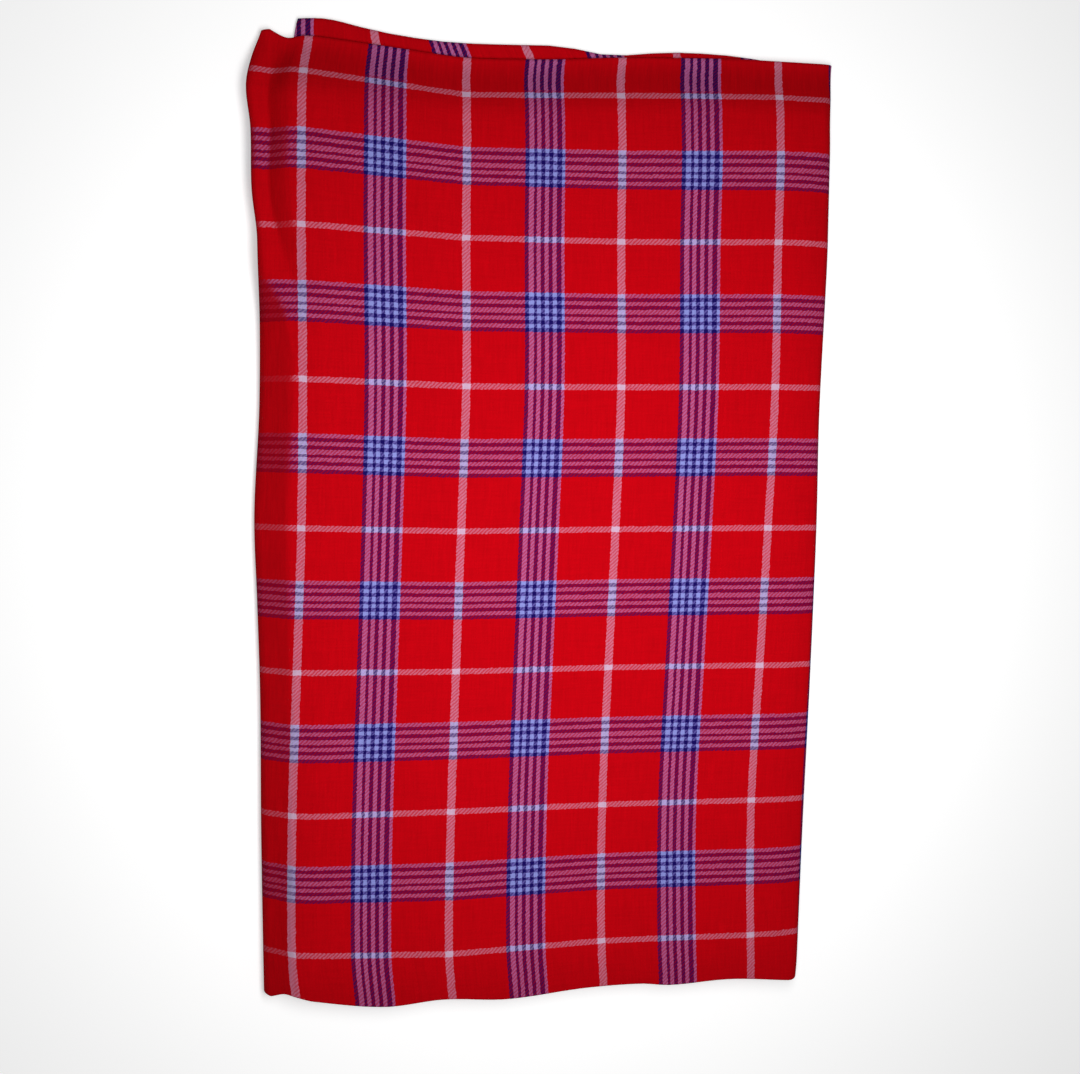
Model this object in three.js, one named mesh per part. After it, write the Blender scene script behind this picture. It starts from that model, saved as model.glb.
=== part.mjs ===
// A folded shuka: one woven cloth, folded in three along its length, then in four over its width like a book.
// Millimetres: +X across the pile, +Y along it towards the cut ends on top, +Z up, z = 0 where it lies.
import * as THREE from 'three';

// Driving sizes of the cloth and its pile
const CLOTH = 1; // thickness of the woven sheet
const PITCH = 2.15; // rise from one layer to the next where the pile is puffed up
const LEFT_PITCH = 1.9; // distance between the layers round the outside of the left fold
const RIGHT_PITCH = 1.3; // the same at the right, where more layers turn and press tighter
const END_PITCH = 2.1; // and at the near and far ends, where only two layers turn
const PLIES = 4; // how many times the folded length lies over the width; two make a page of the book
const PASSES = 3; // how many times the cloth lies over the length
const TOP_LAYER = PLIES * PASSES - 1; // the layer that shows, counted from 0 at the bottom
const PAGE_TOP = (TOP_LAYER - 1) / 2; // the uppermost layer of the lower page
const LEFT_DROOP = 10; // how far the upper page hangs down at the left edge, past the lower page
const DROOP_REACH = 24; // how far in from the left edge it starts to hang
const DROOP_POWER = 1.4; // 1 would hang straight, more is rounder
const LOOP_RISE = 1.3; // how far the left fold opens up inside, where its innermost layers turn
const LOOP_REACH = 14; // and how far in that opening closes
const LOOP_LAYER = PAGE_TOP + PASSES; // the layer under that opening
const RIM_LIFT = 1.2; // how far the rim of the lowest layer stands clear of the table
const LIP = 42; // past the far folds only the last pass goes on, so its four plies settle over this length
const LIP_SHARE = 0.38; // how much of the height between them is left where they have settled
const PAGE_STEP = 0.47; // what the two pages keep between them besides, in layers
const LIP_DROOP = 0.28; // share of the droop that is left there, down to the table
const LIP_START = 0.97; // place along the length from which each ply keeps to its own cut end
const LEFT_FOLD = ((2 * PASSES - 1) * LEFT_PITCH + CLOTH) / 2; // how far that fold stands out past its runs
const RIGHT_FOLD = (TOP_LAYER * RIGHT_PITCH + CLOTH) / 2; // the same for the fold of the whole book
const NEAR_FOLD = (END_PITCH + CLOTH) / 2; // and for a fold of two passes

// How the pile thins towards its edges: how much of the pitch is lost there, how far in that reaches, and how
// far in the lowest layer starts to lift
const EDGES = {
  left: { thin: 0.42, reach: 42, lifts: 60 },
  right: { thin: 0.2, reach: 18, lifts: 60 },
  near: { thin: 0.36, reach: 36, lifts: 100 },
  far: { thin: 0.3, reach: 40, lifts: 70 },
};
const CORNER_BLEND = 4; // the higher, the more a corner follows the thinner of its two edges

// Stations over the width and along the length, at the same places in every layer so that they stay apart
const PLY_PLACES = [0, 0.02, 0.035, 0.05, 0.068, 0.09, 0.22, 0.5, 0.78, 0.92, 0.97, 1];
const PASS_PLACES = [0, 0.02, 0.05, 0.1, 0.24, 0.42, 0.58, 0.74, 0.86, 0.93, 0.95, 0.97, 0.985, 1];
const CLOSEST_PLACES = 0.008; // a station nearer than this to the end of a run is left out

// The back-and-forth section of the width, in plies, from one selvedge to the other: each row runs from one
// place to another (0 at the left edge, 1 at the right), or turns there in so many steps to the next ply.
const WIDTH_SECTION = [
  { start: 0.06, end: 1, from: 0, to: 0 },
  { start: 1, end: 1, from: 0, to: 3, steps: 8 },
  { start: 1, end: 0, from: 3, to: 3 },
  { start: 0, end: 0, from: 3, to: 2, steps: 4 },
  { start: 0.004, end: 0.98, from: 2, to: 2 },
  { start: 0.98, end: 0.98, from: 2, to: 1, steps: 6 },
  { start: 0.98, end: 0.069, from: 1, to: 1 },
];

// The back-and-forth section of the length, in passes: place 0 is the near fold, 1 the far end.
const LENGTH_SECTION = [
  { start: 0.016, end: 0.93, from: 0, to: 0 },
  { start: 0.93, end: 0.93, from: 0, to: 1, steps: 4 },
  { start: 0.93, end: 0, from: 1, to: 1 },
  { start: 0, end: 0, from: 1, to: 2, steps: 4 },
  { start: 0, end: 1, from: 2, to: 2 },
];

// Where the sides of the pile run, from the near fold to the far end
const SIDE_LINES = [
  { along: 0, left: -177.3, right: 190 },
  { along: 0.17, left: -179.5, right: 190 },
  { along: 0.32, left: -180.5, right: 190.8 },
  { along: 0.42, left: -182.6, right: 191 },
  { along: 0.51, left: -184.6, right: 190.9 },
  { along: 0.63, left: -181.6, right: 189.5 },
  { along: 0.79, left: -182.6, right: 190.5 },
  { along: 0.84, left: -186.2, right: 190 },
  { along: 0.9, left: -187, right: 189.3 },
  { along: 0.94, left: -189.8, right: 188.9 },
  { along: 0.97, left: -188, right: 190.9 },
  { along: 1, left: -185.5, right: 192.4 },
];

// Where the near fold lies
const FOLD_LINE = [
  { across: 0, y: -309 },
  { across: 0.03, y: -305.5 },
  { across: 0.08, y: -310 },
  { across: 0.21, y: -316 },
  { across: 0.32, y: -313 },
  { across: 0.44, y: -315 },
  { across: 0.59, y: -310 },
  { across: 0.7, y: -309 },
  { across: 0.76, y: -311 },
  { across: 0.88, y: -309 },
  { across: 1, y: -312 },
];

// Where the cut end of the ply that shows lies
const FRONT_LINE = [
  { across: 0, y: 311 },
  { across: 0.03, y: 306.5 },
  { across: 0.061, y: 308.5 },
  { across: 0.12, y: 307.7 },
  { across: 0.24, y: 304.7 },
  { across: 0.34, y: 302.5 },
  { across: 0.45, y: 304.3 },
  { across: 0.52, y: 306.2 },
  { across: 0.615, y: 309.7 },
  { across: 0.79, y: 313.7 },
  { across: 0.85, y: 314.7 },
  { across: 1, y: 315.7 },
];

// Where the cut end of the lower page peeks out
const LOWER_LINE = [
  { across: 0, y: 317 },
  { across: 0.07, y: 320.2 },
  { across: 0.105, y: 320.2 },
  { across: 0.19, y: 315.1 },
  { across: 0.3, y: 312.1 },
  { across: 0.4, y: 314.1 },
  { across: 0.51, y: 316.2 },
  { across: 0.6, y: 312.1 },
  { across: 0.715, y: 317.2 },
  { across: 0.83, y: 318.2 },
  { across: 0.92, y: 316 },
  { across: 1, y: 315.7 },
];

// How far each ply draws in at its near fold and its far end, on its left; at the right all plies are joined
const PLY_INSETS = [
  { ply: 0, near: 7, far: 3 },
  { ply: 1, near: 5, far: 0 },
  { ply: 2, near: 1.5, far: 2 },
  { ply: 3, near: 0, far: 0 },
];

// Soft troughs (rise below 0) and ridges that show on top: middle, heading in degrees, half sizes
const CREASES = [
  { x: -165, y: 222, heading: 92, long: 58, wide: 12, rise: -1.8 },
  { x: -167, y: 158, heading: -66, long: 34, wide: 9, rise: 1.4 },
  { x: -160, y: -190, heading: 86, long: 80, wide: 12, rise: -1.2 },
];

const lerp = THREE.MathUtils.lerp;

// Smooth line through a table's rows: a cubic between neighbours, with the slope of the rows around each.
function lineThrough(rows, at, key, column) {
  const last = rows.length - 1;
  const slope = (i) => {
    const before = rows[Math.max(i - 1, 0)];
    const after = rows[Math.min(i + 1, last)];
    return (after[column] - before[column]) / (after[key] - before[key]);
  };
  const place = THREE.MathUtils.clamp(at, rows[0][key], rows[last][key]);
  const i = Math.min(rows.findLastIndex((row) => row[key] <= place), last - 1);
  const span = rows[i + 1][key] - rows[i][key];
  const t = (place - rows[i][key]) / span;
  const bend = t * (1 - t) * span;
  const straight = lerp(rows[i][column], rows[i + 1][column], t * t * (3 - 2 * t));
  return straight + bend * ((1 - t) * slope(i) - t * slope(i + 1));
}

// Stations along a back-and-forth section: runs keep their layer, turns go round by an angle.
function stationsOf(section, runPlaces) {
  return section.flatMap((row) => {
    if (row.start !== row.end) {
      const low = Math.min(row.start, row.end);
      const high = Math.max(row.start, row.end);
      const inside = runPlaces.filter((p) => p > low + CLOSEST_PLACES && p < high - CLOSEST_PLACES);
      const places = [low, ...inside, high];
      return (row.start < row.end ? places : places.reverse()).map((place) => ({ ...row, place, angle: 0 }));
    }
    const inner = Array.from({ length: row.steps - 1 }, (_, i) => i + 1);
    return inner.map((i) => ({ ...row, place: row.start, angle: (Math.PI * i) / row.steps }));
  });
}

// Level reached on the way from one layer to the next, and how far the turn stands out, both in layers.
function turnBetween(from, to, angle) {
  const half = (to - from) / 2;
  return { level: from + half * (1 - Math.cos(angle)), out: Math.abs(half) * Math.sin(angle) };
}

// Layer of the pile for a level in the folded length: every second ply lies upside down.
function layerInPile(ply, level) {
  return ply * PASSES + (ply % 2 === 1 ? level : PASSES - 1 - level);
}

// Y of a line over the width.
function lineOver(rows, place) {
  return lineThrough(rows, place, 'across', 'y');
}

// How far the cut end of a ply reaches past the one that shows.
function endBeyondFront(place, ply) {
  const lower = THREE.MathUtils.clamp(PLIES / 2 - ply, 0, 1);
  const inset = (1 - place) * lineThrough(PLY_INSETS, ply, 'ply', 'far');
  return lower * (lineOver(LOWER_LINE, place) - lineOver(FRONT_LINE, place)) - inset;
}

// Rise of the creases at a point of the top layer.
function creaseRise(x, y) {
  return CREASES.reduce((sum, crease) => {
    const heading = THREE.MathUtils.degToRad(crease.heading);
    const dx = x - crease.x;
    const dy = y - crease.y;
    const along = (dx * Math.cos(heading) + dy * Math.sin(heading)) / crease.long;
    const beside = (dy * Math.cos(heading) - dx * Math.sin(heading)) / crease.wide;
    return sum + crease.rise * Math.exp(-(along ** 4) - beside ** 2);
  }, 0);
}

// Share of an edge's effect at a distance from it: 1 at the edge, easing out to 0 at its reach.
function edgeShare(distance, reach) {
  return (1 - THREE.MathUtils.clamp(distance / reach, 0, 1)) ** 2;
}

// Rise from layer to layer: it thins towards the four edges and follows the creases.
function pitchAt(x, y, distances) {
  const thinning = Object.entries(EDGES).map(
    ([edge, { thin, reach }]) => (thin * edgeShare(distances[edge], reach)) ** CORNER_BLEND);
  const thinned = thinning.reduce((sum, term) => sum + term, 0) ** (1 / CORNER_BLEND);
  return PITCH - thinned + creaseRise(x, y) / TOP_LAYER;
}

// How far the pile stands clear of the table near its edges.
function liftAt(distances) {
  const nearest = Object.entries(EDGES).map(([edge, { lifts }]) => 1 - distances[edge] / lifts);
  return RIM_LIFT * THREE.MathUtils.clamp(Math.max(...nearest), 0, 1);
}

// Layer that a ply of the last pass comes down to at a distance from its end, past the far folds.
function settledAt(distance, level) {
  const low = LIP_SHARE * level + PAGE_STEP * THREE.MathUtils.clamp(level - PAGE_TOP, 0, 1);
  return lerp(low, level, THREE.MathUtils.smoothstep(distance, 0, LIP));
}

// How far a layer hangs down at a distance from the left edge, and at one from its end.
function droopAt(distance, fromEnd, level) {
  const share = THREE.MathUtils.clamp(level - PAGE_TOP, 0, 1);
  const deep = LEFT_DROOP * lerp(LIP_DROOP, 1, THREE.MathUtils.smoothstep(fromEnd, 0, LIP));
  return deep * share * Math.max(1 - distance / DROOP_REACH, 0) ** DROOP_POWER;
}

// How far a layer is held up by the opening inside the left fold.
function loopAt(distance, level) {
  return LOOP_RISE * THREE.MathUtils.clamp(level - LOOP_LAYER, 0, 1) * edgeShare(distance, LOOP_REACH);
}

// Middle of the sheet's thickness at one station over the width and one along the length.
function sheetPoint(over, along) {
  const length = turnBetween(along.from, along.to, along.angle);
  const before = layerInPile(over.from, length.level);
  const after = layerInPile(over.to, length.level);
  const pile = turnBetween(before, after, over.angle);
  const ply = lerp(over.from, over.to, over.angle / Math.PI);
  const left = lineThrough(SIDE_LINES, along.place, 'along', 'left') + LEFT_FOLD;
  const right = lineThrough(SIDE_LINES, along.place, 'along', 'right') - RIGHT_FOLD;
  const nearInset = (1 - over.place) * lineThrough(PLY_INSETS, ply, 'ply', 'near');
  const near = lineOver(FOLD_LINE, over.place) + NEAR_FOLD + nearInset;
  const far = lineOver(FRONT_LINE, over.place);
  const lip = THREE.MathUtils.smoothstep(along.place, LIP_START, 1);
  const x = lerp(left, right, over.place);
  const y = lerp(near, far, along.place) + lip * endBeyondFront(over.place, ply);
  const distances = { left: x - left, right: right - x, near: y - near, far: far - LIP - y };
  const outX = x + (over.place > 0.5 ? RIGHT_PITCH : -LEFT_PITCH) * pile.out;
  const outY = y + (along.place > 0.5 ? 1 : -1) * length.out * END_PITCH;
  const stacked = liftAt(distances) + settledAt(far - y, pile.level) * pitchAt(x, y, distances);
  const height = stacked + loopAt(x - left, pile.level) - droopAt(outX - left, far - y, pile.level);
  return new THREE.Vector3(outX, outY, CLOTH / 2 + height);
}

// Unit normals of a grid of points, from each point's neighbours in its row and column.
function gridNormals(grid) {
  const rows = grid.length;
  const columns = grid[0].length;
  return grid.map((row, i) => row.map((_, j) => {
    const over = new THREE.Vector3().subVectors(
      row[Math.min(j + 1, columns - 1)], row[Math.max(j - 1, 0)]);
    const along = new THREE.Vector3().subVectors(
      grid[Math.min(i + 1, rows - 1)][j], grid[Math.max(i - 1, 0)][j]);
    return over.cross(along).normalize();
  }));
}

// Closed sheet: the grid moved half the thickness to each side, and a rim all round.
function sheetGeometry(grid) {
  const rows = grid.length;
  const columns = grid[0].length;
  const normals = gridNormals(grid);
  const position = [];
  for (const side of [-0.5, 0.5]) {
    grid.forEach((row, i) => row.forEach((point, j) => {
      position.push(...point.clone().addScaledVector(normals[i][j], side * CLOTH).toArray());
    }));
  }
  const at = (i, j, side) => side * rows * columns + i * columns + j;
  const index = [];
  const quad = (a, b, c, d) => index.push(a, b, c, a, c, d);
  for (let i = 0; i + 1 < rows; i += 1) {
    for (let j = 0; j + 1 < columns; j += 1) {
      const right = grid[i][j + 1].x > grid[i][j].x;
      const onward = grid[i + 1][j].y > grid[i][j].y;
      const corners = [[i, j], [i, j + 1], [i + 1, j + 1], [i + 1, j]];
      if (right !== onward) {
        corners.push(corners.shift());
      }
      const [a, b, c, d] = corners;
      quad(at(...a, 1), at(...b, 1), at(...c, 1), at(...d, 1));
      quad(at(...a, 0), at(...d, 0), at(...c, 0), at(...b, 0));
    }
    quad(at(i, 0, 0), at(i, 0, 1), at(i + 1, 0, 1), at(i + 1, 0, 0));
    quad(at(i, columns - 1, 0), at(i + 1, columns - 1, 0), at(i + 1, columns - 1, 1), at(i, columns - 1, 1));
  }
  for (let j = 0; j + 1 < columns; j += 1) {
    quad(at(0, j, 0), at(0, j + 1, 0), at(0, j + 1, 1), at(0, j, 1));
    quad(at(rows - 1, j, 0), at(rows - 1, j, 1), at(rows - 1, j + 1, 1), at(rows - 1, j + 1, 0));
  }
  const geometry = new THREE.BufferGeometry();
  geometry.setAttribute('position', new THREE.Float32BufferAttribute(position, 3));
  geometry.setIndex(index);
  return geometry;
}

// The cloth, with the middle of its box over the origin
function shukaCloth() {
  const over = stationsOf(WIDTH_SECTION, PLY_PLACES);
  const along = stationsOf(LENGTH_SECTION, PASS_PLACES);
  const geometry = sheetGeometry(along.map((b) => over.map((a) => sheetPoint(a, b))));
  geometry.computeBoundingBox();
  const middle = geometry.boundingBox.getCenter(new THREE.Vector3());
  geometry.translate(-middle.x, -middle.y, 0);
  geometry.computeVertexNormals();
  const wool = new THREE.MeshStandardMaterial({ color: 0xb00a14, roughness: 0.95, metalness: 0 });
  const mesh = new THREE.Mesh(geometry, wool);
  mesh.name = 'shuka_cloth';
  return mesh;
}

const shuka = new THREE.Group();
shuka.add(shukaCloth());

export default shuka;
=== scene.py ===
import math
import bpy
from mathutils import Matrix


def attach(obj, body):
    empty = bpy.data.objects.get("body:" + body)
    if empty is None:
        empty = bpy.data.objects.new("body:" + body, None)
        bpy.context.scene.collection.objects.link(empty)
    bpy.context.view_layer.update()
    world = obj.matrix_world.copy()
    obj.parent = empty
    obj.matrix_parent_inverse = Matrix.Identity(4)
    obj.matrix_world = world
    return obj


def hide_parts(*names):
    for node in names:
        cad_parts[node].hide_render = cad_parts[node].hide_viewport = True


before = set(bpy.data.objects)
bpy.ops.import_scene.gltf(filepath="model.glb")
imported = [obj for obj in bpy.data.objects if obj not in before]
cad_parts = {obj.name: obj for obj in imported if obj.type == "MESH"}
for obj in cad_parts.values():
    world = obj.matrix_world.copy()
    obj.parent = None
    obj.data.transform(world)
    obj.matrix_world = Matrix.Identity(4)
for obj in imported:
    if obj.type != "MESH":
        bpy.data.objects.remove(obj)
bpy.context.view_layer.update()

from types import SimpleNamespace

import bpy
import numpy as np
from mathutils import Matrix, Vector

# A folded shuka: one woven cloth, folded in three along its length, then in four over its width like a book.
# Sizes are in millimetres over the table until the mesh is made, +Y towards the cut ends on top, +Z up.
MM = 0.001
CLOTH = 1.0  # thickness of the woven sheet
EDGE_ROUND = 0.4  # how far the cut edges of the sheet bulge out
PITCH = 2.15  # rise from one layer to the next where the pile is puffed up
LEFT_PITCH = 1.9  # distance between the layers round the outside of the left fold
RIGHT_PITCH = 1.3  # the same at the right, where more layers turn and press tighter
END_PITCH = 2.1  # and at the near and far ends, where only two layers turn
PLIES = 4  # how many times the folded length lies over the width; two make a page of the book
PASSES = 3  # how many times the cloth lies over the length
TOP_LAYER = PLIES * PASSES - 1
PAGE_TOP = (TOP_LAYER - 1) / 2  # the uppermost layer of the lower page
LOOP_RISE, LOOP_REACH = 1.3, 14.0  # how far the left fold opens up inside, and how far in that closes
LOOP_LAYER = PAGE_TOP + PASSES
RIM_LIFT = 1.2  # how far the rim of the lowest layer stands clear of the table
LIP = 42.0  # past the far folds only the last pass goes on, so its four plies settle over this length
LIP_SHARE = 0.15  # how much of the height between them is left where they have settled
PAGE_STEP = 0.5  # what the two pages keep between them besides, in layers
LIP_DROOP = 0.28  # share of the droop that is left there, down to the table
LIP_START = 0.97  # place along the length from which each ply keeps to its own cut end
LEFT_TURN = 2 * PASSES - 1  # layers that the left fold goes round
LEFT_FOLD = (LEFT_TURN * LEFT_PITCH + CLOTH) / 2
RIGHT_FOLD = (TOP_LAYER * RIGHT_PITCH + CLOTH) / 2
NEAR_FOLD = (END_PITCH + CLOTH) / 2

# Edge of the pile: pitch lost there, how far in that reaches, how far in the lowest layer starts to lift
EDGES = {"left": (0.42, 42, 60), "right": (0.2, 18, 60), "near": (0.36, 36, 100), "far": (0.3, 40, 70)}
CORNER_BLEND = 4  # the higher, the more a corner follows the thinner of its two edges

# Sections of the folded cloth: start and end place, ply or pass at both, and number of cells
OVER_ROWS = [
    (0.06, 1.0, 0, 0, 18), (1.0, 1.0, 0, 3, 16), (1.0, 0.0, 3, 3, 92), (0.0, 0.0, 3, 2, 12),
    (0.004, 0.98, 2, 2, 22), (0.98, 0.98, 2, 1, 8), (0.98, 0.048, 1, 1, 26),
]
ALONG_ROWS = [
    (0.016, 0.93, 0, 0, 20), (0.93, 0.93, 0, 1, 8), (0.93, 0.0, 1, 1, 20), (0.0, 0.0, 1, 2, 10),
    (0.0, 1.0, 2, 2, 134),
]
# Where the cells of a run lie: share of the cells used up at each place
OVER_SPREAD = ((0, 0.06, 0.13, 0.88, 0.96, 1), (0, 0.16, 0.3, 0.8, 0.9, 1))
ALONG_SPREAD = ((0, 0.03, 0.09, 0.88, 0.97, 1), (0, 0.07, 0.15, 0.82, 0.92, 1))

# Where the sides of the pile run, from the near fold to the far end
SIDE_PLACES = (0, 0.17, 0.32, 0.42, 0.51, 0.63, 0.79, 0.84, 0.9, 0.94, 0.97, 1)
LEFT_LINE = (-177.3, -179.5, -180.5, -182.6, -184.6, -181.6, -182.6, -186.2, -187, -189.8, -187, -181.5)
RIGHT_LINE = (190, 190, 190.8, 191, 190.9, 189.5, 190.5, 190, 189.3, 188.9, 190.9, 192.4)

# Where the near fold lies, and the cut ends of the ply that shows and of the lower page: places and Y
FOLD_LINE = (
    (0, 0.03, 0.08, 0.21, 0.32, 0.44, 0.59, 0.7, 0.76, 0.88, 1),
    (-309, -305.5, -310, -316, -313, -315, -310, -309, -311, -309, -312),
)
FRONT_LINE = (
    (0, 0.03, 0.061, 0.12, 0.24, 0.34, 0.45, 0.52, 0.615, 0.79, 0.85, 1),
    (311, 306.5, 308.5, 307.7, 304.7, 302.5, 304.3, 306.2, 309.7, 313.7, 314.7, 315.7),
)
LOWER_LINE = (
    (0, 0.07, 0.105, 0.19, 0.3, 0.4, 0.51, 0.6, 0.715, 0.83, 0.92, 1),
    (317, 320.2, 320.2, 315.1, 312.1, 313, 314.8, 311.6, 316.4, 317.2, 315, 315.2),
)

# How far each ply draws in at its near fold and its far end, on its left
PLY_NUMBERS = (0, 1, 2, 3)
NEAR_INSETS = (7, 5, 1.5, 0)
FAR_INSETS = (3, 0, 2, 0)

# How the upper page hangs down at the left, past the lower page, from the near fold to the far end:
# left of a ridge it slopes down to the edge; at the far half a shorter slope ends in a trough instead.
# Distances are in from the left fold.
HANG_Y = (-312, -100, 83, 134, 155, 171, 190, 226, 286, 312)
RIDGE_IN = (15, 16, 16, 12.2, 2.5, -5.4, -11, -12, -12, -12)
TROUGH_IN = (16, 16, 16, 16, 16, 12.3, 7.3, 5.9, 8.3, 1.5)
TROUGH_DROP = (0, 0, 0, 0.6, 1.8, 4, 6, 6.5, 6.5, 6.5)
SLOPE_SHADE = (0.6, 0.35, 0.9, 0.9, 0.9, 0.9, 0.8, 0.7, 0.6, 0.6)  # painted shade: how far the pale weft is dimmed to the warp's colour there
RIDGE_SLOPE, RIDGE_ROUND = 0.6, 2.0
TROUGH_WIDTH, TROUGH_POWER = 13.0, 1.4  # breadth of the shorter slope; the power keeps its foot sharp
TROUGH_RISE = 0.2  # slope up again from its foot to the left
SHADE_TURN = (0.15, 0.5)  # painted shade: from which turn to the left it starts, and where it is full

# Soft troughs (rise below 0) and ridges through the pile: x, y, heading, half length, half width, rise
CREASES = [
    (-160, -190, 86, 80, 12, -1.2),
]

# Weave: threads of the check, from the left of the warp and from the far end of the weft
WARP_SETT = [("navy", 4), ("pale", 4)] * 5 + [("red", 54), ("white", 8), ("red", 54)]
WEFT_SETT = [("pale", 4), ("navy", 4)] * 5 + [("red", 52), ("white", 7), ("red", 51)]
WARP_REPEAT, WEFT_REPEAT = 156, 150
WARP_PITCH, WEFT_PITCH = 102.3 / WARP_REPEAT, 93.1 / WEFT_REPEAT
WARP_LINE, WARP_LINE_X = 98, -53.9  # middle thread of the thin white warp line, and where one lies
WEFT_LINE, WEFT_LINE_IN = 95.5, 22.5  # the same for the weft, and how far in from the cut end it lies
END_LEVEL = 306.0  # where the cut end would be if the weft lay straight
WEFT_SLOPE = 0.012
LOWER_SHIFT = -757.5  # from a place on the lower page to its place over the unfolded width
LOWER_X = (-150, -109, -61, -13, 33, 88, 120)  # places over the lower page, and for each:
LOWER_LEAN = (0, 0.25, 0.5, 0.5, 0.5, 0.3, 0.3)  # how far its stripes lean over as they peek out
LOWER_DRIFT = (-0.4, 2.2, 0.2, 0.6, 0.6, -5.0, -1.0)  # how far they have slipped to the right
# How far the threads stray from straight lines, at four thin warp lines (columns) and down the cloth (rows)
STRAY_X = (-156, -54, 48, 151)
STRAY_Y = (-314, -276, -183, -90, 3, 96, 190, 240, 283, 308)
WARP_STRAY = (
    (1.5, -1.9, -2.2, 0.2, 2.4, 2.7, 1.1, 0.9, 1.2, 4.0),
    (1.0, -2.5, -2.5, -1.0, 0.8, 2.5, 0.7, 0.2, 0.0, 1.5),
    (2.0, -1.8, -3.8, -2.2, -0.1, 1.1, -1.7, -2.6, -3.1, -0.2),
    (4.0, 0.9, -2.2, -0.1, 2.0, 3.3, 1.6, 1.2, 0.8, 3.4),
)
WEFT_STRAY = (
    (-2.5, 0.7, -0.3, 0.5, -0.2, 0.2, 1.8, 0.4, 3.1, 3.5),
    (-7.4, -3.4, -0.5, -0.6, -2.3, -2.7, -2.9, -6.5, -6.2, -6.0),
    (-4.0, -0.3, 0.5, 0.3, -1.0, -1.5, -1.6, -4.0, -1.3, -1.0),
    (-5.5, -2.2, -0.4, -0.2, 0.0, 0.6, 2.0, 0.5, 3.3, 3.5),
)
LEFT_ARC = math.pi / 2 * LEFT_TURN * (PITCH + LEFT_PITCH) / 2  # cloth used up in the folds
RIGHT_ARC = math.pi / 2 * TOP_LAYER * (PITCH + RIGHT_PITCH) / 2
END_ARC = math.pi / 2 * (PITCH + END_PITCH) / 2

# Yarns: colour, and how far a thread takes on the tint of the one it crosses
YARNS = {
    "red": (0.62, 0.0012, 0.008, 0.35),
    "white": (0.74, 0.48, 0.66, 0.53),
    "pale": (0.55, 0.42, 0.92, 0.65),
    "navy": (0.022, 0.009, 0.18, 0.50),
}
# Tint that each yarn gives to the threads that cross it
TINTS = {
    "red": (1.0, 0.002, 0.12, 1),
    "white": (1.0, 1.0, 1.0, 1),
    "pale": (0.3, 0.66, 0.78, 1),
    "navy": (0.0, 0.04, 0.36, 1),
}
WARP_OVER, WARP_UNDER = 0.82, 0.35  # share of the warp in the colour that shows, where it lies over and under
END_SHARE = 0.13  # how much more of the warp shows next to the cut end
WANDER, WANDER_SIZE = 2.4, 0.25  # how far threads wander, in threads, and how often for each thread
WANDER_DETAIL = 3.0
END_THREADS = 90  # the weft threads next to the cut end, where the warp lies over one thread more
TWILL_STEPS, TWILL_OVER = 4, 1.5  # threads until the twill repeats, of which the warp lies over steps 0 and 1
# Slubs: how the lightness of the yarn varies from thread to thread and along one
SLUB_SPACING, SLUB_STRETCH, SLUB_DETAIL = 0.71, 0.035, 2.0
SLUB_CONTRAST, SLUB_DARKEST = 0.5, 0.75
WARP_SEED, WEFT_SEED = 0.3, 7.7
THREAD_RISE, THREAD_BUMP = 0.15, 0.5  # height of a round thread, and how strongly it shows
CLOTH_ROUGHNESS, CLOTH_SPECULAR = 0.95, 0.03

# Colour map: room for each section of the folds, most for the ply and pass that show
OVER_ROOM = (0.12, 1, 1, 0.8, 0.1, 0.3, 0.3)
ALONG_ROOM = (0.08, 1, 0.08, 2, 1)
# Bands of that map: the outer face of the sheet, its inner face, and from where on its rim lies
OUTER_TO, INNER_FROM, INNER_TO, RIM_FROM = 0.895, 0.9, 0.985, 0.99

# Camera: fitted to the corners of the pile and the lines of the check
CAMERA_AT = (-118.2, 58.0, 760.9)
CAMERA_TO = (-1.7, -2.1, 24.7)
CAMERA_ROLL = 1.335
LENS, SENSOR = 38.33, 36.0
CLIP_FROM, CLIP_TO = 0.05, 50.0

LAMP_AT = (0.015, 0.0, 0.53)
LAMP_SIZE, LAMP_LENGTH, LAMP_POWER = 0.22, 0.50, 2.7
AMBIENT = 0.1
BACKDROP = 0.8
FLOOR_SIZE, FLOOR_GLOW = 4.0, 0.5
FLOOR_GREY, FLOOR_ROUGHNESS = 0.9, 0.9


def line_through(keys, values, at):
    """Smooth line through a table: a cubic between neighbours, with the slope of the rows around each."""
    keys, values = np.asarray(keys, float), np.asarray(values, float)
    slopes = np.empty(len(keys))
    slopes[1:-1] = (values[2:] - values[:-2]) / (keys[2:] - keys[:-2])
    slopes[[0, -1]] = np.diff(values)[[0, -1]] / np.diff(keys)[[0, -1]]
    at = np.clip(at, keys[0], keys[-1])
    i = np.clip(np.searchsorted(keys, at, side="right") - 1, 0, len(keys) - 2)
    span = keys[i + 1] - keys[i]
    t = (at - keys[i]) / span
    straight = values[i] + (values[i + 1] - values[i]) * t * t * (3 - 2 * t)
    return straight + t * (1 - t) * span * ((1 - t) * slopes[i] - t * slopes[i + 1])


def stations(rows, spread):
    """Place, from, to and angle of each station: runs spread cells by a table, turns go round evenly."""
    parts = []
    for start, end, ply, following, cells in rows:
        if start == end:
            angle = np.linspace(0, math.pi, cells + 1)[1:-1]
            place = np.full(cells - 1, start)
        else:
            places, shares = spread
            ends = np.interp((start, end), places, shares)
            place = np.interp(np.linspace(*ends, cells + 1), shares, places)
            angle = np.zeros(cells + 1)
        parts.append((place, np.full(len(place), ply), np.full(len(place), following), angle))
    return [np.concatenate(columns) for columns in zip(*parts)]


def turn_between(low, high, angle):
    """Level on the way from a layer to the next, and how far the turn stands out: a half circle."""
    half = (high - low) / 2
    return low + half * (1 - np.cos(angle)), np.abs(half) * np.sin(angle)


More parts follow.
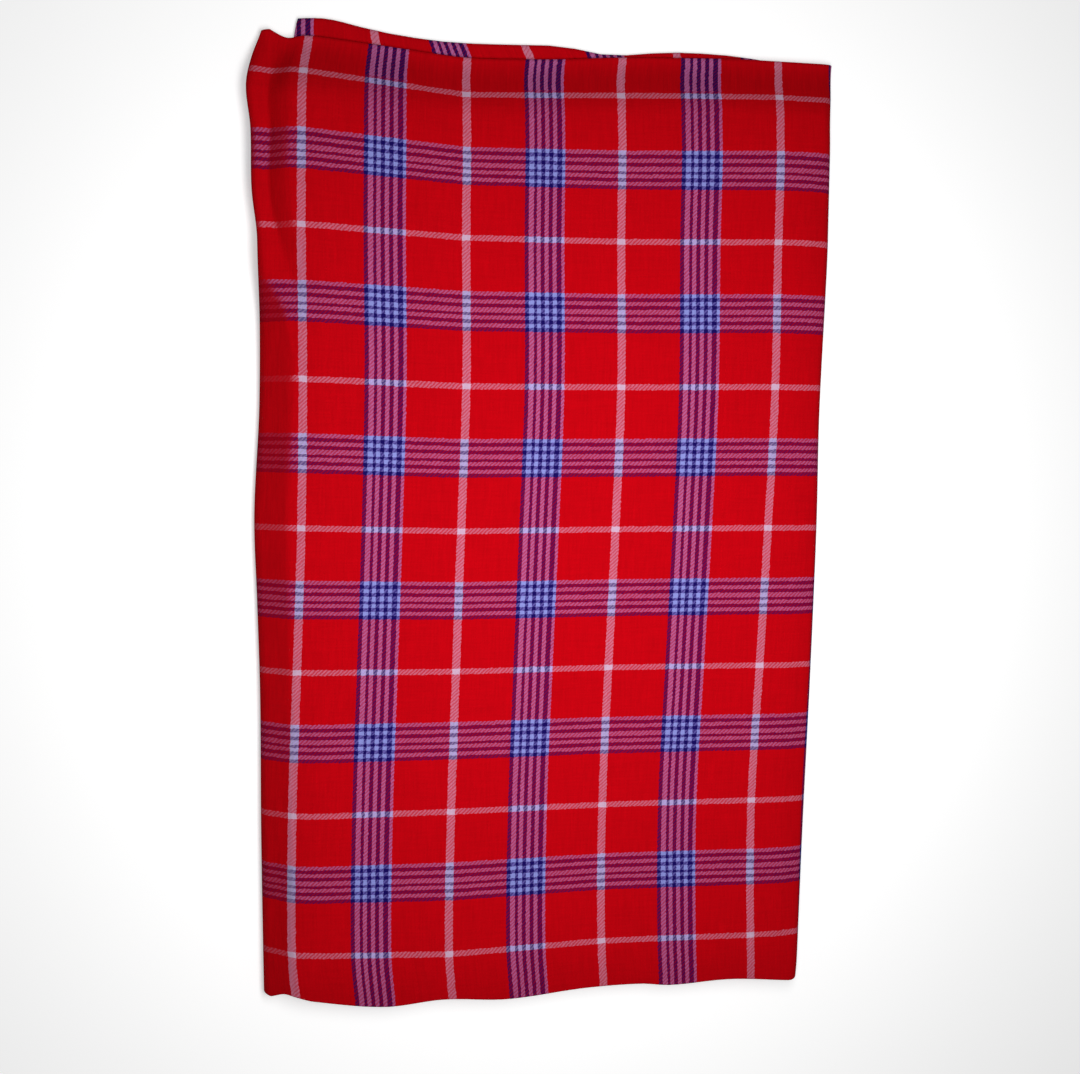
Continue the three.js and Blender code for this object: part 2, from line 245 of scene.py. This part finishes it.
def layer_in_pile(ply, level):
    """Layer of the pile for a level in the folded length: every second ply lies upside down."""
    return ply * PASSES + np.where(ply % 2 == 1, level, PASSES - 1 - level)


def crease_rise(creases, x, y):
    """Sum of soft troughs and ridges: flat-topped along their heading, a bell across it."""
    total = np.zeros(np.broadcast(x, y).shape)
    for mid_x, mid_y, heading, long, wide, rise in creases:
        c, s = math.cos(math.radians(heading)), math.sin(math.radians(heading))
        along = ((x - mid_x) * c + (y - mid_y) * s) / long
        beside = ((y - mid_y) * c - (x - mid_x) * s) / wide
        total += rise * np.exp(-(along**4) - beside**2)
    return total


def edge_share(distance, reach):
    """1 at an edge, easing out to 0 at its reach."""
    return (1 - np.clip(distance / reach, 0, 1)) ** 2


def smoothstep(x, low, high):
    """0 below low, 1 above high, a cubic between."""
    t = np.clip((x - low) / (high - low), 0, 1)
    return t * t * (3 - 2 * t)


def stray(table, x, y):
    """How far threads stray: a smooth line down each column, shared evenly between the columns beside."""
    at = np.clip(x, STRAY_X[0], STRAY_X[-1])
    total = np.zeros(np.broadcast(x, y).shape)
    for k, column in enumerate(table):
        hat = np.interp(at, STRAY_X, np.arange(len(STRAY_X)) == k)
        total += hat * line_through(STRAY_Y, column, y)
    return total


def lay_out(over, along):
    """Where each station of the grid lies, in which layer, and the edges of the pile beside it.

    A run goes its share of the way from edge to edge; a turn stands out past the edge by its half circle.
    """
    lay = SimpleNamespace()
    lay.place_x, lay.ply, lay.next_ply, lay.angle_x = (column[None, :] for column in over)
    lay.place_y, lay.run, lay.next_run, lay.angle_y = (column[:, None] for column in along)
    lay.level, out_y = turn_between(lay.run, lay.next_run, lay.angle_y)
    before, after = layer_in_pile(lay.ply, lay.level), layer_in_pile(lay.next_ply, lay.level)
    lay.layer, out_x = turn_between(before, after, lay.angle_x)
    between = lay.ply + (lay.next_ply - lay.ply) * lay.angle_x / math.pi
    lay.left = line_through(SIDE_PLACES, LEFT_LINE, lay.place_y) + LEFT_FOLD
    lay.right = line_through(SIDE_PLACES, RIGHT_LINE, lay.place_y) - RIGHT_FOLD
    near_inset = (1 - lay.place_x) * line_through(PLY_NUMBERS, NEAR_INSETS, between)
    far_inset = (1 - lay.place_x) * line_through(PLY_NUMBERS, FAR_INSETS, between)
    lay.near = line_through(*FOLD_LINE, lay.place_x) + NEAR_FOLD + near_inset
    lay.far = line_through(*FRONT_LINE, lay.place_x)
    lower = np.clip(PLIES / 2 - between, 0, 1)
    lay.end = lay.far + lower * (line_through(*LOWER_LINE, lay.place_x) - lay.far) - far_inset
    lay.x = lay.left + (lay.right - lay.left) * lay.place_x
    lip = smoothstep(lay.place_y, LIP_START, 1)
    lay.y = lay.near + (lay.far - lay.near) * lay.place_y + lip * (lay.end - lay.far)
    lay.out_x = lay.x + np.where(lay.place_x > 0.5, RIGHT_PITCH, -LEFT_PITCH) * out_x
    lay.out_y = lay.y + np.where(lay.place_y > 0.5, END_PITCH, -END_PITCH) * out_y
    return lay


def hinge(x, rounding):
    """0 below 0 and x above it, rounded over."""
    return (x + np.sqrt(x * x + rounding * rounding)) / 2


def hang(inward, y):
    """How far the upper page hangs down left of its ridge and its trough.

    Past the ridge it goes down by a slope, past the trough by its drop, less the rise beyond its foot.
    """
    ridge, trough, drop = (line_through(HANG_Y, table, y) for table in (RIDGE_IN, TROUGH_IN, TROUGH_DROP))
    short_slope = np.clip((trough + TROUGH_WIDTH - inward) / TROUGH_WIDTH, 0, 1) ** TROUGH_POWER
    rise = TROUGH_RISE * np.clip(trough - inward, 0, None) * drop / max(TROUGH_DROP)
    return RIDGE_SLOPE * hinge(ridge - inward, RIDGE_ROUND) + drop * short_slope - rise


def heights(lay):
    """Height of the sheet: its layer times a pitch, less the droop of the upper page.

    The pitch thins to the edges of the pile, and past the far folds the layers settle.
    """
    gaps = {
        "left": lay.x - lay.left, "right": lay.right - lay.x,
        "near": lay.y - lay.near, "far": lay.far - LIP - lay.y,
    }
    thinned = sum(
        (thin * edge_share(gaps[edge], reach)) ** CORNER_BLEND
        for edge, (thin, reach, _) in EDGES.items()
    )
    pitch = PITCH - thinned ** (1 / CORNER_BLEND) + crease_rise(CREASES, lay.x, lay.y) / TOP_LAYER
    nearest = np.maximum.reduce([1 - gaps[edge] / lifts for edge, (_, _, lifts) in EDGES.items()])
    lift = RIM_LIFT * np.clip(nearest, 0, 1)
    loop = LOOP_RISE * np.clip(lay.layer - LOOP_LAYER, 0, 1) * edge_share(gaps["left"], LOOP_REACH)
    upper_page = np.clip(lay.layer - PAGE_TOP, 0, 1)
    unsettled = smoothstep(lay.far - lay.y, 0, LIP)
    settled = LIP_SHARE * lay.layer + PAGE_STEP * upper_page
    droop = hang(lay.out_x - lay.left, lay.y) * (LIP_DROOP + (1 - LIP_DROOP) * unsettled) * upper_page
    return CLOTH / 2 + lift + (settled + (lay.layer - settled) * unsettled) * pitch + loop - droop


def warp_threads(lay):
    """Warp thread at each station: its place over the unfolded width, from ply to ply round the folds."""
    turned = lay.angle_x / math.pi
    lean = line_through(LOWER_X, LOWER_LEAN, lay.x) * np.clip(lay.y - lay.far, 0, None)
    lower_page = lay.x + LOWER_SHIFT + lean - line_through(LOWER_X, LOWER_DRIFT, lay.x)
    fold_back = lay.left - LEFT_ARC
    inner = fold_back + (lay.right + LOWER_SHIFT + END_ARC - fold_back) * lay.place_x
    turning = lay.ply != lay.next_ply
    across = np.select(
        [
            turning & (lay.ply == 0),
            turning & (lay.ply == 3),
            turning,
            lay.ply == 0,
            lay.ply == 1,
            lay.ply == 2,
        ],
        [
            lay.right + (1 - turned) * RIGHT_ARC,
            lay.left - turned * LEFT_ARC,
            inner - turned * END_ARC,
            2 * lay.right + RIGHT_ARC - lay.x,
            lower_page,
            inner,
        ],
        lay.x,
    )
    return WARP_LINE + (across - stray(WARP_STRAY, lay.x, lay.y) - WARP_LINE_X) / WARP_PITCH


def weft_threads(lay):
    """Weft thread at each station: the way in from the cut end, from pass to pass round the end folds."""
    level_end = END_LEVEL + WEFT_SLOPE * lay.x
    peeking = np.clip(lay.end - lay.far, 0, None)
    last = level_end + peeking - lay.y + stray(WEFT_STRAY, lay.x, lay.y)
    at_fold = level_end - lay.near + stray(WEFT_STRAY, lay.x, lay.near)
    turning = lay.run != lay.next_run
    back = at_fold + END_ARC + (lay.y - lay.near)
    inward = np.select(
        [turning & (lay.run == 1), lay.run == 2, lay.run == 1],
        [at_fold + (1 - lay.angle_y / math.pi) * END_ARC, last, back],
        at_fold + 2 * (lay.far - lay.near) + 2 * END_ARC - (lay.y - lay.near),
    )
    return WEFT_LINE + (inward - WEFT_LINE_IN) / WEFT_PITCH


def grid_normals(points):
    """Unit normals of a grid: neighbours in its rows crossed with neighbours in its columns."""
    normals = np.cross(np.gradient(points, axis=1), np.gradient(points, axis=0))
    return normals / np.linalg.norm(normals, axis=-1, keepdims=True)


def rim_of(rows, columns):
    """Numbers of the points round the edge of a grid, once round."""
    number = np.arange(rows * columns).reshape(rows, columns)
    return np.concatenate([number[0, :-1], number[:-1, -1], number[-1, :0:-1], number[:0:-1, 0]])


def closed_sheet(points):
    """Both faces of the sheet, half its thickness to each side of the grid, and a bulging rim round it."""
    rows, columns = points.shape[:2]
    normals = grid_normals(points)
    number = np.arange(rows * columns).reshape(rows, columns)
    corners = [number[:-1, :-1], number[:-1, 1:], number[1:, 1:], number[1:, :-1]]
    quads = np.stack(corners, axis=-1).reshape(-1, 4)
    count = rows * columns
    rim = rim_of(rows, columns)
    flat = points.reshape(-1, 3)
    ahead = np.roll(rim, -1)
    outward = np.cross(flat[ahead] - flat[np.roll(rim, 1)], normals.reshape(-1, 3)[rim])
    outward /= np.linalg.norm(outward, axis=-1, keepdims=True)
    shift = (normals * CLOTH / 2).reshape(-1, 3)
    vertices = np.concatenate([flat + shift, flat - shift, flat[rim] + outward * EDGE_ROUND])
    bulge = 2 * count + np.arange(len(rim))
    bulge_ahead = np.roll(bulge, -1)
    upper = np.stack([rim, bulge, bulge_ahead, ahead], axis=-1)
    lower = np.stack([bulge, count + rim, count + ahead, bulge_ahead], axis=-1)
    source = np.concatenate([np.arange(count), np.arange(count), rim])
    return vertices, np.concatenate([quads, count + quads[:, ::-1], upper, lower]), source


def places_on_map(points, rows, room, axis):
    """Place of each station on the colour map, 0 to 1: the lengths of the cells so far, times their room."""
    lengths = np.linalg.norm(np.diff(points, axis=axis), axis=-1).mean(axis=1 - axis)
    ends = np.cumsum(lengths * np.repeat(room, [row[-1] for row in rows]))
    return np.concatenate([[0], ends / ends[-1]])


def colour_map(points, faces):
    """Corners of the faces on the colour map: the two faces of the sheet in bands, and the rim in a strip."""
    rows, columns = points.shape[:2]
    across, up = np.meshgrid(
        places_on_map(points, OVER_ROWS, OVER_ROOM, 1), places_on_map(points, ALONG_ROWS, ALONG_ROOM, 0)
    )
    outer = np.stack([across, up * OUTER_TO], axis=-1).reshape(-1, 2)
    inner = np.stack([across, INNER_FROM + up * (INNER_TO - INNER_FROM)], axis=-1).reshape(-1, 2)
    cells = (rows - 1) * (columns - 1)
    around = np.linspace(0, 1, (len(faces) - 2 * cells) // 2 + 1)
    along = np.stack([around[:-1], around[:-1], around[1:], around[1:]], axis=-1)
    upper, lower = (
        np.stack([along, RIM_FROM + (1 - RIM_FROM) * np.broadcast_to(height, along.shape)], axis=-1)
        for height in ((0, 0.5, 0.5, 0), (0.5, 1, 1, 0.5))
    )
    both = [inner[faces[:cells]], outer[faces[cells:2 * cells] - rows * columns]]
    return np.concatenate([*both, upper, lower])


def painted_slope_shade(points, y):
    """Painted shade on the slopes that turn to the left: the pale weft dimmed to the warp's colour as far as
    the sheet turns that way, times a table down it.
    """
    normals = grid_normals(points)
    leftward = -normals[..., 0] * np.sign(normals[..., 2])
    return smoothstep(leftward, *SHADE_TURN) * line_through(HANG_Y, SLOPE_SHADE, y)


def mesh_object(name, vertices, faces):
    """Smooth mesh object from whole arrays."""
    mesh = bpy.data.meshes.new(name)
    mesh.vertices.add(len(vertices))
    mesh.vertices.foreach_set("co", np.asarray(vertices, np.float32).ravel())
    mesh.loops.add(faces.size)
    mesh.loops.foreach_set("vertex_index", faces.astype(np.int32).ravel())
    mesh.polygons.add(len(faces))
    mesh.polygons.foreach_set("loop_start", np.arange(len(faces), dtype=np.int32) * faces.shape[1])
    mesh.polygons.foreach_set("use_smooth", np.ones(len(faces), bool))
    mesh.update(calc_edges=True)
    piece = bpy.data.objects.new(name, mesh)
    bpy.context.scene.collection.objects.link(piece)
    return piece


def add_map(piece, name, corners):
    """UV map of a piece, from a place for each corner of its faces."""
    piece.data.uv_layers.new(name=name).uv.foreach_set("vector", corners.astype(np.float32).ravel())


class Nodes:
    """Short hand for a node tree: each call adds a node, wires its inputs and gives its output."""

    def __init__(self, tree):
        self.tree = tree
        tree.nodes.clear()

    def add(self, kind, inputs=(), output=0, **settings):
        node = self.tree.nodes.new(kind)
        for key, value in settings.items():
            setattr(node, key, value)
        for key, value in dict(inputs).items():
            if isinstance(value, bpy.types.NodeSocket):
                self.tree.links.new(value, node.inputs[key])
            else:
                node.inputs[key].default_value = value
        return node.outputs[output] if node.outputs else None

    def math(self, operation, *values):
        return self.add("ShaderNodeMath", enumerate(values), operation=operation)

    def mix(self, share, a, b, blend="MIX"):
        node = {"Factor": share, 6: a, 7: b}
        return self.add("ShaderNodeMix", node, output=2, data_type="RGBA", blend_type=blend)

    def scaled(self, colour, factor):
        return self.add("ShaderNodeVectorMath", {0: colour, 3: factor}, operation="SCALE")

    def pick(self, share, a, b):
        return self.add("ShaderNodeMix", {"Factor": share, 2: a, 3: b})

    def sett(self, thread, repeat, runs, colours):
        """Colour of a thread from the runs of its repeat."""
        middle = self.math("ADD", thread, 0.5)
        share = self.math("DIVIDE", self.math("FLOORED_MODULO", middle, repeat), repeat)
        output = self.add("ShaderNodeValToRGB", {"Fac": share})
        ramp = output.node.color_ramp
        ramp.interpolation = "CONSTANT"
        start = 0
        for i, (yarn, threads) in enumerate(runs):
            stop = ramp.elements[0] if i == 0 else ramp.elements.new(start / repeat)
            stop.position = start / repeat
            stop.color = colours[yarn]
            start += threads
        ramp.elements.remove(ramp.elements[-1])
        return output

    def slubs(self, colour, thread, along, seed):
        """Yarn a little lighter and darker from thread to thread and along its length."""
        apart = self.math("MULTIPLY", thread, SLUB_SPACING)
        place = self.add("ShaderNodeCombineXYZ", {0: apart, 1: along, 2: seed})
        longer = {0: place, 1: (1, SLUB_STRETCH, 1)}
        stretched = self.add("ShaderNodeVectorMath", longer, operation="MULTIPLY")
        noise = self.add("ShaderNodeTexNoise", {"Vector": stretched, "Scale": 1.0, "Detail": SLUB_DETAIL})
        return self.scaled(colour, self.math("MULTIPLY_ADD", noise, SLUB_CONTRAST, SLUB_DARKEST))

    def yarn(self, thread, along, repeat, runs, seed, tint):
        """Colour of a thread of the sett, with its slubs and some of the tint of the one it crosses."""
        colour, takes = self.sett(thread, repeat, runs, YARNS).node.outputs
        return self.mix(takes, self.slubs(colour, thread, along, seed), tint, blend="MULTIPLY")


def twill_material():
    """Two-and-two twill in four yarns: colours from the warp and weft setts, with painted shade on the left
    slope, bump from round threads.
    """
    material = bpy.data.materials.new("shuka twill")
    material.use_nodes = True
    n = Nodes(material.node_tree)
    straight = n.add("ShaderNodeUVMap", uv_map="weave")
    noise = {"Vector": straight, "Scale": WANDER_SIZE, "Detail": WANDER_DETAIL}
    wander = n.add("ShaderNodeTexNoise", noise, output="Color")
    astray = n.add("ShaderNodeVectorMath", {0: wander, 1: (0.5, 0.5, 0.5)}, operation="SUBTRACT")
    place = n.add("ShaderNodeVectorMath", {0: n.scaled(astray, WANDER), 1: straight}, operation="ADD")
    u, v, _ = n.add("ShaderNodeSeparateXYZ", {0: place}).node.outputs
    warp_thread, weft_thread = n.math("FLOOR", u), n.math("FLOOR", v)
    warp_tint = n.sett(warp_thread, WARP_REPEAT, WARP_SETT, TINTS)
    weft_tint = n.sett(weft_thread, WEFT_REPEAT, WEFT_SETT, TINTS)
    warp = n.yarn(warp_thread, v, WARP_REPEAT, WARP_SETT, WARP_SEED, weft_tint)
    weft = n.yarn(weft_thread, u, WEFT_REPEAT, WEFT_SETT, WEFT_SEED, warp_tint)
    step = n.math("FLOORED_MODULO", n.math("ADD", warp_thread, weft_thread), TWILL_STEPS)
    at_end = n.math("LESS_THAN", weft_thread, END_THREADS)
    warp_over = n.math("LESS_THAN", step, n.math("ADD", TWILL_OVER, at_end))
    warp_share = n.pick(warp_over, WARP_UNDER, WARP_OVER)
    end_share = n.math("MULTIPLY_ADD", at_end, END_SHARE, warp_share)
    # Painted shade: where the sheet turns to the left, the warp's colour covers the pale weft.
    left_slope_shade = n.add("ShaderNodeAttribute", output="Fac", attribute_name="left_slope_shade")
    colour = n.mix(n.pick(left_slope_shade, end_share, 1.0), weft, warp)
    across = n.math("FRACT", n.pick(warp_over, v, u))
    off_middle = n.math("MULTIPLY_ADD", across, 2, -1)
    round_thread = n.math("SUBTRACT", 1, n.math("MULTIPLY", off_middle, off_middle))
    rise = {"Height": round_thread, "Distance": THREAD_RISE * MM, "Strength": THREAD_BUMP}
    bump = n.add("ShaderNodeBump", rise)
    shader = n.add("ShaderNodeBsdfPrincipled", {
        "Base Color": colour, "Normal": bump,
        "Roughness": CLOTH_ROUGHNESS, "Specular IOR Level": CLOTH_SPECULAR,
    })
    n.add("ShaderNodeOutputMaterial", {"Surface": shader})
    return material


def floor_material():
    """Matt pale grey with a little light of its own, that only the camera sees."""
    material = bpy.data.materials.new("pale floor")
    material.use_nodes = True
    n = Nodes(material.node_tree)
    glow = n.math("MULTIPLY", n.add("ShaderNodeLightPath"), FLOOR_GLOW)
    shader = n.add("ShaderNodeBsdfPrincipled", {
        "Base Color": (FLOOR_GREY, FLOOR_GREY, FLOOR_GREY, 1),
        "Roughness": FLOOR_ROUGHNESS, "Specular IOR Level": 0.0,
        "Emission Color": (1, 1, 1, 1), "Emission Strength": glow,
    })
    n.add("ShaderNodeOutputMaterial", {"Surface": shader})
    return material


def shuka_sheet():
    """The cloth as one closed sheet about the origin, with its threads as a UV map, and how far it moved."""
    lay = lay_out(stations(OVER_ROWS, OVER_SPREAD), stations(ALONG_ROWS, ALONG_SPREAD))
    points = np.stack(np.broadcast_arrays(lay.out_x, lay.out_y, heights(lay)), axis=-1)
    threads = np.stack(np.broadcast_arrays(warp_threads(lay), weft_threads(lay)), axis=-1)
    vertices, faces, source = closed_sheet(points)
    middle = (vertices.min(axis=0) + vertices.max(axis=0)) / 2 * (1, 1, 0)
    piece = mesh_object("shuka_sheet", (vertices - middle) * MM, faces)
    add_map(piece, "weave", threads.reshape(-1, 2)[source][faces.ravel()])
    add_map(piece, "OFBake", colour_map(points, faces))
    # Painted shade for the slopes that turn to the left, kept as an attribute on the points
    left_slope_shade = painted_slope_shade(points, lay.y).ravel()[source]
    piece.data.attributes.new("left_slope_shade", "FLOAT", "POINT").data.foreach_set("value", left_slope_shade)
    piece.data.materials.append(twill_material())
    return piece, middle


def studio():
    """Pale floor, one soft lamp over the pile and a little light all round."""
    corners = np.array([(-1, -1, 0), (1, -1, 0), (1, 1, 0), (-1, 1, 0)]) * FLOOR_SIZE
    floor = mesh_object("floor", corners, np.array([[0, 1, 2, 3]]))
    floor.data.materials.append(floor_material())
    lamp = bpy.data.lights.new("soft lamp", "AREA")
    lamp.shape = "ELLIPSE"
    lamp.size, lamp.size_y = LAMP_SIZE, LAMP_LENGTH
    lamp.energy = LAMP_POWER
    stand = bpy.data.objects.new("soft lamp", lamp)
    stand.location = LAMP_AT
    stand.visible_camera = False
    bpy.context.scene.collection.objects.link(stand)
    world = bpy.data.worlds.new("studio")
    world.use_nodes = True
    n = Nodes(world.node_tree)
    seen = n.add("ShaderNodeLightPath")
    strength = n.pick(seen, AMBIENT, BACKDROP)
    surround = n.add("ShaderNodeBackground", {"Color": (1, 1, 1, 1), "Strength": strength})
    n.add("ShaderNodeOutputWorld", {"Surface": surround})
    bpy.context.scene.world = world
    bpy.context.scene.view_settings.view_transform = "Standard"


def camera(middle):
    """Camera over the pile, turned a little about its own axis."""
    at, to = (Vector((np.array(place) - middle) * MM) for place in (CAMERA_AT, CAMERA_TO))
    data = bpy.data.cameras.new("camera")
    data.lens, data.sensor_width, data.sensor_fit = LENS, SENSOR, "HORIZONTAL"
    data.clip_start, data.clip_end = CLIP_FROM, CLIP_TO
    holder = bpy.data.objects.new("camera", data)
    back = (at - to).normalized()
    turn = Matrix.Rotation(math.radians(CAMERA_ROLL), 3, back)
    right = turn @ Vector((0, 1, 0)).cross(back).normalized()
    up = back.cross(right)
    holder.matrix_world = Matrix.Translation(at) @ Matrix((right, up, back)).transposed().to_4x4()
    bpy.context.scene.collection.objects.link(holder)
    bpy.context.scene.camera = holder


cloth, middle = shuka_sheet()
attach(cloth, "root")
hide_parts("shuka_cloth")
studio()
camera(middle)

bpy.context.view_layer.update()
